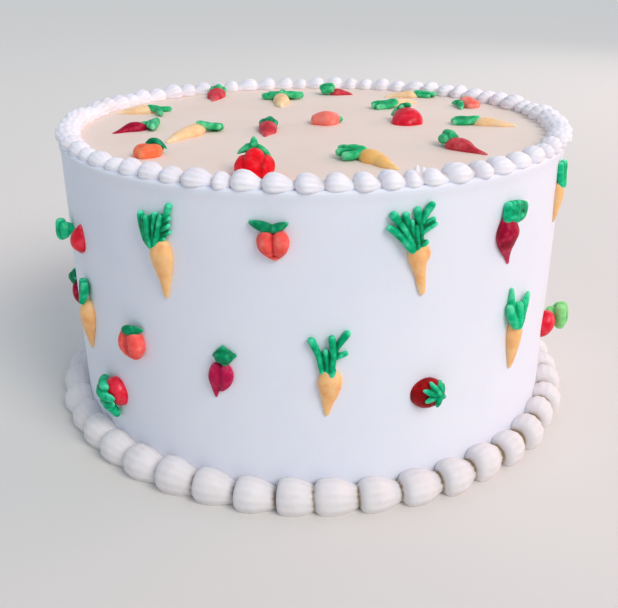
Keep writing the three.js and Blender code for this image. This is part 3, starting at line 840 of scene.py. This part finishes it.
tomatoLooks = {
    "star": {"dome": 6.4, "sepals": 7, "middle": (-1.2, 2), "length": 4.8, "thick": 1.3},
    "plain": {"dome": 6.4, "sepals": 5, "middle": (0, 4.4), "length": 3.4, "thick": 1.2},
    "capped": {"dome": 6.4,
               "extra": [[(-8, 3.4, 1.8, 0.4), (-4, 3.8, 2.2, 3.2), (-0.4, 3.8, 2.1, 4.4)],
                         [(-9, 0.6, 2, 0.4), (-4.5, 0.6, 2.4, 3.8), (0, 0.6, 2.4, 5.4), (3.2, 0.4, 2, 4.8)],
                         [(-7.4, -2.2, 1.8, 0.4), (-3.6, -2.6, 2.2, 3.4), (0, -2.8, 2.2, 4.6),
                          (2, -2.8, 1.8, 4.2)],
                         [(-0.8, -4.5, 2.2, 3.8), (-1, -7.6, 2.2, 1.2), (-1, -10, 1.9, 0.2)]]},
    "drop": {"fruit": [(0.4, 2.6, 1.8), (0.2, 1.2, 3), (-0.6, -1, 4.3), (-1.4, -3.6, 5), (-2, -5.6, 4.2),
                       (-2.4, -6.8, 2.2)],
             "extra": [[(-15.4, 1.2, 2, 2.4), (-15.4, -2.8, 2.1, 2.4)],
                       [(-13, 1.8, 2.3, 2.8), (-13.2, -3.6, 2.4, 2.8)],
                       [(-10.6, 1, 2, 2), (-10.8, -2.8, 2, 2)],
                       [(-14.6, -1, 2.4), (-11, -1, 2.4)]]},
    "leafy": {"dome": 5.8,
              "extra": [[(5, 5.4, 2.6, 4.6), (5.4, -1.6, 2.7, 4.8)],
                        [(7.8, 5.2, 2.8, 5), (8.2, -1.4, 2.9, 5.2)],
                        [(10.4, 4, 2.5, 3.8), (10.6, 0, 2.6, 3.8)],
                        [(6, 2, 2.8, 1), (9, 2, 2.8, 1)],
                        [(6, 2, 2.6, 3), (9, 2, 2.6, 3)]]},
}
roundPeach = [
    [(-2.8, 2.2, 2.6), (-3.5, -1.2, 3), (-2, -4, 2.5)],
    [(1.9, 2.4, 3), (2.8, -1, 3.3), (1.3, -4, 2.6)],
    [(-0.5, 1.6, 2.5, -0.2), (-0.4, -4, 2.5, -0.2)],
]
peachLooks = {
    "heart": {"root": [
        [(-1.7, 2.2, 2.6), (-1.9, -0.6, 2.8), (-0.9, -3.2, 2.2)],
        [(2.7, 2.2, 2.7), (3.3, -0.2, 3.1), (2.3, -2.8, 2.5)],
        [(-3.7, 1.6, 1.4), (-4, -0.8, 1.4), (-3, -3, 1.3)],
        [(-2.6, -3.3, 1.4), (0.8, -5.5, 1.2)],
        [(0.8, -5.5, 1.2), (3.6, -3, 1.5)],
    ], "leaf": [
        [(0.2, 4.6, 1.5), (-2.2, 5.2, 2), (-4.8, 5.8, 1.7), (-7, 6.2, 0.8)],
        [(-0.4, 4.4, 1.4), (1.6, 5, 1.7), (3.4, 5.7, 1.5), (5, 6.3, 0.7)],
    ]},
    "round": {"root": roundPeach, "leaf": [
        [(-3, 4.2, 1.2, 0.8), (-0.6, 5, 2, 1.2), (2.2, 5.2, 1.9, 1), (4.4, 5.4, 1, 0.4)],
    ]},
    "raised": {"root": roundPeach, "leaf": [
        [(-2.6, 4.4, 1.3, 2), (-0.4, 5.2, 2.1, 2.8), (2.4, 5.4, 2, 2.6), (4.6, 5.2, 1.2, 1.6)],
        [(-0.4, 5, 1.8), (2.4, 5.2, 1.8)],
    ]},
    "small": {"root": [
        [(-2.8, 2.2, 2.5), (-3.6, -1.2, 2.7), (-2.2, -3.8, 2.2)],
        [(1.9, 2.4, 3), (2.8, -1, 3.3), (1.3, -4, 2.6)],
        [(-0.5, 1.6, 2.4, -0.3), (-0.4, -3.8, 2.4, -0.3)],
    ], "leaf": [
        [(-1.4, 4.8, 1, 0.4), (0.8, 5.2, 1.1, 0.4)],
    ]},
    "plump": {"root": [
        [(-3.2, 2.6, 2.7), (-3.6, -1, 3), (-2.6, -3.2, 2.4)],
        [(0.1, 2.6, 3.5), (0.2, -1.2, 4.1), (0.3, -3.4, 3.4)],
        [(3.4, 2.2, 2.6), (3.9, -1, 2.8), (2.8, -3.2, 2.3)],
    ], "leaf": [
        [(0, 3.6, 1.2, 6.4), (-2.4, 3.8, 1.4, 6.4), (-4.6, 3.4, 0.5, 5.6)],
        [(0.6, 3.6, 1.2, 6.4), (3, 3.6, 1.3, 5.2), (5.4, 2.6, 0.5, 3.4)],
        [(0, 3, 1.2, 6.6), (0.2, 4.6, 1.1, 8), (0.3, 6, 0.35, 9.2)],
        [(-0.4, 3, 1.1, 6.6), (-1.6, 4.8, 1, 7.2), (-2.6, 6, 0.4, 7.4)],
    ]},
}
pressLook = {  # how flat each kind lies and how deep its middle sits in the icing
    "carrotRoot": (0.74, 0.68), "carrotLeaf": (1.0, 0.3),
    "beetRoot": (0.76, 0.66), "beetLeaf": (0.95, 0.4),
    "tomatoRoot": (0.85, 0.9), "tomatoLeaf": (1.0, 0.3),
    "peachRoot": (1.0, 0.45), "peachLeaf": (1.0, 0.2),
    "plumpRoot": (1.25, 0.25),
}


def pipeStroke(stations, sink, layer, crown, fatten, roundEnds):  # a circle extruded along its stations
    places, sizes = [], []
    for across, up, thick, *lift in stations:
        size = thick * fatten
        rise = sum(lift) + layer + crown * max(0, 1 - max(up, 0) / pipeLook["crownSpan"])
        places.append(Vector((across, up, size * (1 - sink) + rise)))
        sizes.append(size)
    if roundEnds:
        reach, girth = pipeLook["endReach"], pipeLook["endGirth"]
        before = (places[0] - places[1]).normalized() * sizes[0] * reach
        after = (places[-1] - places[-2]).normalized() * sizes[-1] * reach
        places = [places[0] + before, *places, places[-1] + after]
        sizes = [sizes[0] * girth, *sizes, sizes[-1] * girth]
    steps = [b - a for a, b in zip(places, places[1:])]
    headings = [math.atan2(step.y, step.x) for step in steps]
    facing = steps[0].to_track_quat("Z", "Y").to_euler()
    bpy.ops.mesh.select_all(action="DESELECT")
    bpy.ops.mesh.primitive_circle_add(
        vertices=pipeLook["sides"], radius=sizes[0], fill_type="NGON", location=places[0], rotation=facing)
    heading = headings[0]
    for i, step in enumerate(steps):
        bpy.ops.mesh.extrude_region_move(TRANSFORM_OT_translate={"value": step})
        ratio = sizes[i + 1] / sizes[i]
        bpy.ops.transform.resize(value=(ratio, ratio, ratio), center_override=places[i + 1])
        ahead = headings[min(i + 1, len(headings) - 1)]
        bend = math.remainder(ahead - headings[i], 2 * math.pi)
        turn = math.remainder(headings[i] + bend / 2 - heading, 2 * math.pi)
        if abs(turn) > 0.01:
            bpy.ops.transform.rotate(value=-turn, orient_axis="Z", center_override=places[i + 1])
        heading += turn


def pipeMotif(name, strokes, press, part, crown=0, roundEnds=True):  # strokes fused, then cut flat behind
    flat, sink = press
    layer, fatten = pipeLook[part]["layer"], pipeLook[part]["fatten"]
    motif = startMesh(name, "FACE")
    for i, stations in enumerate(strokes):
        pipeStroke(stations, sink, layer * (i % 3), crown, fatten, roundEnds)
    bpy.ops.mesh.select_all(action="SELECT")
    bpy.ops.transform.resize(value=(1, 1, flat), center_override=(0, 0, 0))
    bpy.ops.mesh.normals_make_consistent(inside=False)
    deselectAll()
    applyModifier(motif, "SUBSURF", levels=2, render_levels=2)
    applyModifier(motif, "REMESH", mode="VOXEL", voxel_size=pipeLook["voxel"], use_smooth_shade=True)
    applyModifier(motif, "SMOOTH", factor=0.5, iterations=pipeLook[part]["smoothing"])
    applyModifier(motif, "DISPLACE", texture=icingLumps, texture_coords="LOCAL",
                  strength=pipeLook["uneven"], mid_level=0.5)
    applyModifier(motif, "DISPLACE", texture=icingGrain, texture_coords="LOCAL",
                  strength=pipeLook["grain"], mid_level=0.5)
    markCreaseShading(motif, pipeLook["creaseDepth"])
    applyModifier(motif, "DECIMATE", ratio=pipeLook["keep"])
    cutFlat(motif, -pipeLook["tuck"])
    motif.hide_render = True
    return motif


def sepalStrokes(look):  # sepals laid over the dome from their middle outwards
    dome = look["dome"]
    flat, sink = pressLook["tomatoRoot"]
    top = dome * flat * (2 - sink)

    def over(u, v, thick):
        share = min(sepalLook["edge"], math.hypot(u, v) / (dome + sepalLook["clear"]))
        return u, v, thick, top * math.sqrt(1 - share ** 2) - sepalLook["sunk"] * thick

    middleU, middleV = look["middle"]
    strokes = []
    for i in range(look["sepals"]):
        angle = 2 * math.pi * (i + sepalLook["turnSpread"] * draw(i + look["sepals"])) / look["sepals"]
        length = look["length"] * (1 + sepalLook["lengthSpread"] * draw(i + 2.4))
        stroke = []
        for share, thick in sepalLook["stations"]:
            u = middleU + math.sin(angle) * length * share
            v = middleV + math.cos(angle) * length * share
            stroke.append(over(u, v, look["thick"] * thick))
        strokes.append(stroke)
    half, girth = (share * look["thick"] for share in sepalLook["knot"])
    strokes.append([over(middleU + side, middleV, girth) for side in (-half, half)])
    return strokes


def pipeTomato(name, look):  # a smooth dome with its sepals, and leaves drawn beside it
    rounded = "fruit" not in look
    fruit = look.get("fruit")
    if rounded:
        turns = [math.radians(turn) for turn in domeSpan]
        fruit = [(0, look["dome"] * math.sin(turn), look["dome"] * math.cos(turn)) for turn in turns]
    body = pipeMotif(name + "Fruit", [fruit], pressLook["tomatoRoot"], "root", roundEnds=not rounded)
    strokes = sepalStrokes(look) if "sepals" in look else look["extra"]
    part = "leaf" if "sepals" in look else "block"
    return body, pipeMotif(name + "Leaf", strokes, pressLook["tomatoLeaf"], part)


icingLumps = cloudTexture("icingLumps", pipeLook["unevenSize"])
icingGrain = cloudTexture("icingGrain", pipeLook["grainSize"])
models = {}
for kind, looks in (("carrot", carrotLooks), ("beet", beetLooks), ("peach", peachLooks)):
    for look, strokes in looks.items():
        name = kind + look.capitalize()
        press = pressLook["plumpRoot" if look == "plump" else kind + "Root"]
        models[kind, look, "root"] = pipeMotif(name + "Root", strokes["root"], press, "root")
        crown = 0 if look == "plump" else pipeLook["crown"]
        press = pressLook[kind + "Leaf"]
        part = "block" if kind == "beet" else "leaf"
        models[kind, look, "leaf"] = pipeMotif(name + "Leaf", strokes["leaf"], press, part, crown)
for look, strokes in tomatoLooks.items():
    body, leaves = pipeTomato("tomato" + look.capitalize(), strokes)
    models["tomato", look, "root"] = body
    models["tomato", look, "leaf"] = leaves
print("motifs piped:", len(models))


# Places of the motifs, the same as the solids that they replace

wallFront = [  # kind, turn in degrees, height in mm, lean in degrees, size, look, icing, own leaf icing
    ("carrot", -29.4, 96.5, 0, 1, "brush", "carrotIcing"),
    ("peach", -7, 102, 0, 1, "heart", "peachIcing", "darkLeafIcing"),
    ("carrot", 18.3, 98.5, 0, 1, "knobby", "carrotIcing"),
    ("beet", 40, 100, 0, 1, "block", "beetIcing"),
    ("carrot", 64.3, 104, 0, 0.86, "bundle", "carrotIcing", "brightLeafIcing"),
    ("tomato", -57, 88.5, 0, 1, "drop", "tomatoBrightIcing", "brightLeafIcing"),
    ("beet", -77, 55.4, 0, 0.92, "diamond", "beetIcing", "darkLeafIcing"),
    ("carrot", -56.7, 61.7, 0, 1.14, "strip", "carrotIcing"),
    ("peach", -38.5, 55.5, 0, 1.1, "round", "peachIcing", "darkLeafIcing"),
    ("tomato", -46.5, 28.6, 0, 1, "capped", "tomatoBrightIcing"),
    ("beet", -17.2, 56, 0, 1, "diamond", "beetPinkIcing", "darkLeafIcing"),
    ("carrot", 3, 54.5, 0, 1, "forked", "carrotIcing"),
    ("tomato", 22.8, 42, -80, 1, "star", "tomatoIcing"),
    ("carrot", 45.5, 58, 0, 1.15, "fan", "carrotIcing", "brightLeafIcing"),
    ("tomato", 71, 39.5, 0, 1.05, "leafy", "tomatoBrightIcing", "paleLeafIcing"),
]
wallBack = [  # the two rows go on round the back at even turns, with the kinds taking turns
    {"first": 96, "step": 24, "count": 8, "height": 95, "kinds": ["peach", "carrot", "beet", "tomato"]},
    {"first": 95, "step": 22, "count": 8, "height": 52, "kinds": ["beet", "tomato", "carrot", "peach"]},
]
backScatter = {"turn": 2.5, "height": 4, "lean": 9, "firstSeed": 50, "rowSeeds": 20}
topMotifs = [  # kind, x and y of the crown in mm, way of the tip, size, turn of the leaves, look, icings
    ("carrot", -75.5, 29.5, 192, 0.85, 0, "split", "carrotPaleIcing"),
    ("beet", -71.5, -9, 214, 0.86, 60, "sheaf", "beetIcing"),
    ("carrot", -46.4, -14.6, 242, 1.26, -42, "sprig", "carrotPaleIcing"),
    ("peach", -60, -56, 228, 0.96, 26, "raised", "peachOrangeIcing", "darkLeafIcing"),
    ("beet", -48.8, 74.5, 268, 1.04, 0, "ball", "beetRedIcing"),
    ("carrot", -15, 60, 270, 1.2, 0, "spread", "carrotPaleIcing"),
    ("beet", -18.5, -10, 270, 1, 0, "ball", "beetRedIcing", "darkLeafIcing"),
    ("peach", -19.5, -84.5, 272, 1.08, 0, "plump", "peachRedIcing"),
    ("peach", 6.5, 3, 190, 1.12, 0, "small", "peachPaleIcing"),
    ("beet", 11, 77.5, 355, 0.95, 0, "stub", "beetRedIcing"),
    ("carrot", 19.5, -61.5, 300, 1.12, 52, "clump", "carrotGoldIcing"),
    ("carrot", 40, 40, 52, 1, -32, "bundle", "carrotPaleIcing"),
    ("tomato", 41, 3.5, 250, 1.12, 34, "plain", "tomatoBrightIcing"),
    ("carrot", 52.5, 69.5, 178, 0.85, 0, "bundle", "carrotPaleIcing"),
    ("peach", 75, 42, 12, 1, 0, "heart", "peachPaleIcing"),
    ("carrot", 71, -0.5, 342, 1, 10, "bundle", "carrotPaleIcing"),
    ("beet", 53, -44, 312, 1, -22, "radish", "beetRedIcing"),
]
backLooks = {
    "carrot": ["forked", "knobby", "brush", "fan"],
    "beet": ["block", "diamond", "ball", "diamond"],
    "tomato": ["star", "capped", "star", "plain"],
    "peach": ["heart", "round", "heart", "round"],
}
copyLook = {"sizeSpread": 0.07, "warp": 0.3, "warpSize": 13}


def warped(points, seed):  # each copy pushed about a little, so that no two are alike
    reach = 2 * math.pi / copyLook["warpSize"]
    u, v, w = points.T
    shiftU = np.sin(reach * v + 3 * draw(seed))
    shiftU += 0.6 * np.sin(1.7 * reach * v + reach * u + 3 * draw(seed + 0.2))
    shiftV = np.sin(reach * u + 3 * draw(seed + 0.4))
    shiftV += 0.6 * np.sin(1.6 * reach * u - reach * v + 3 * draw(seed + 0.6))
    return np.column_stack([u + copyLook["warp"] * shiftU, v + copyLook["warp"] * shiftV, w])


def onWall(points, turn, height, lean):
    across, up, out = turned(points, lean).T
    angle = math.radians(turn) + across * mm / cakeRadius
    reach = cakeRadius + out * mm
    return np.column_stack([reach * np.sin(angle), -reach * np.cos(angle), (height + up) * mm])


def onTop(points, x, y, tip):
    across, along, up = turned(points, tip + 90).T
    return np.column_stack([(x + across) * mm, (y + along) * mm, cakeTop + up * mm])


counts = {}


def setMotif(kind, look, icing, place, size=1, leafTurn=0, leafIcing="leafIcing", asDrawn=False):
    counts[kind] = counts.get(kind, 0) + 1
    node = f"{kind}_{counts[kind]:02d}"
    seed = counts[kind] * 10
    scale = size if asDrawn else size * (1 + copyLook["sizeSpread"] * draw(seed))
    for part, slot, finish in (("root", kind + "_icing", icing), ("leaf", "leaf_icing", leafIcing)):
        copy = ownCopy(models[kind, look, part])
        copy.name = node + ("_body" if part == "root" else "_leaves")
        copy.hide_render = False
        points = readPoints(copy) * scale
        if part == "leaf":
            points = turned(points, leafTurn)
        writePoints(copy, place(points if asDrawn else warped(points, seed)))
        keepPiece(copy, node, slot, icings[finish])


for kind, turn, height, lean, size, look, icing, *leafIcing in wallFront:
    leafIcing = leafIcing or ["leafIcing"]
    setMotif(kind, look, icing, lambda points: onWall(points, turn, height, lean), size, 0, *leafIcing, True)
for r, row in enumerate(wallBack):
    for i in range(row["count"]):
        seed = backScatter["firstSeed"] + backScatter["rowSeeds"] * r + i
        kind = row["kinds"][i % len(row["kinds"])]
        turn = row["first"] + row["step"] * i + backScatter["turn"] * draw(seed)
        height = row["height"] + backScatter["height"] * draw(seed + 0.3)
        lean = backScatter["lean"] * draw(seed + 0.6)
        look = backLooks[kind][counts.get(kind, 0) % len(backLooks[kind])]
        setMotif(kind, look, kind + "Icing", lambda points: onWall(points, turn, height, lean))
for kind, x, y, tip, size, leafTurn, look, icing, *leafIcing in topMotifs:
    leafIcing = leafIcing or ["topLeafIcing"]
    setMotif(kind, look, icing, lambda points: onTop(points, x, y, tip), size, leafTurn, *leafIcing)
for model in models.values():
    bpy.data.objects.remove(model)
print("motifs set:", counts)


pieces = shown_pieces()
triangles = {piece.name: sum(len(face.vertices) - 2 for face in piece.data.polygons) for piece in pieces}
largest = max(triangles, key=triangles.get)
print("pieces:", len(pieces), "triangles:", sum(triangles.values()), "most:", largest, triangles[largest])
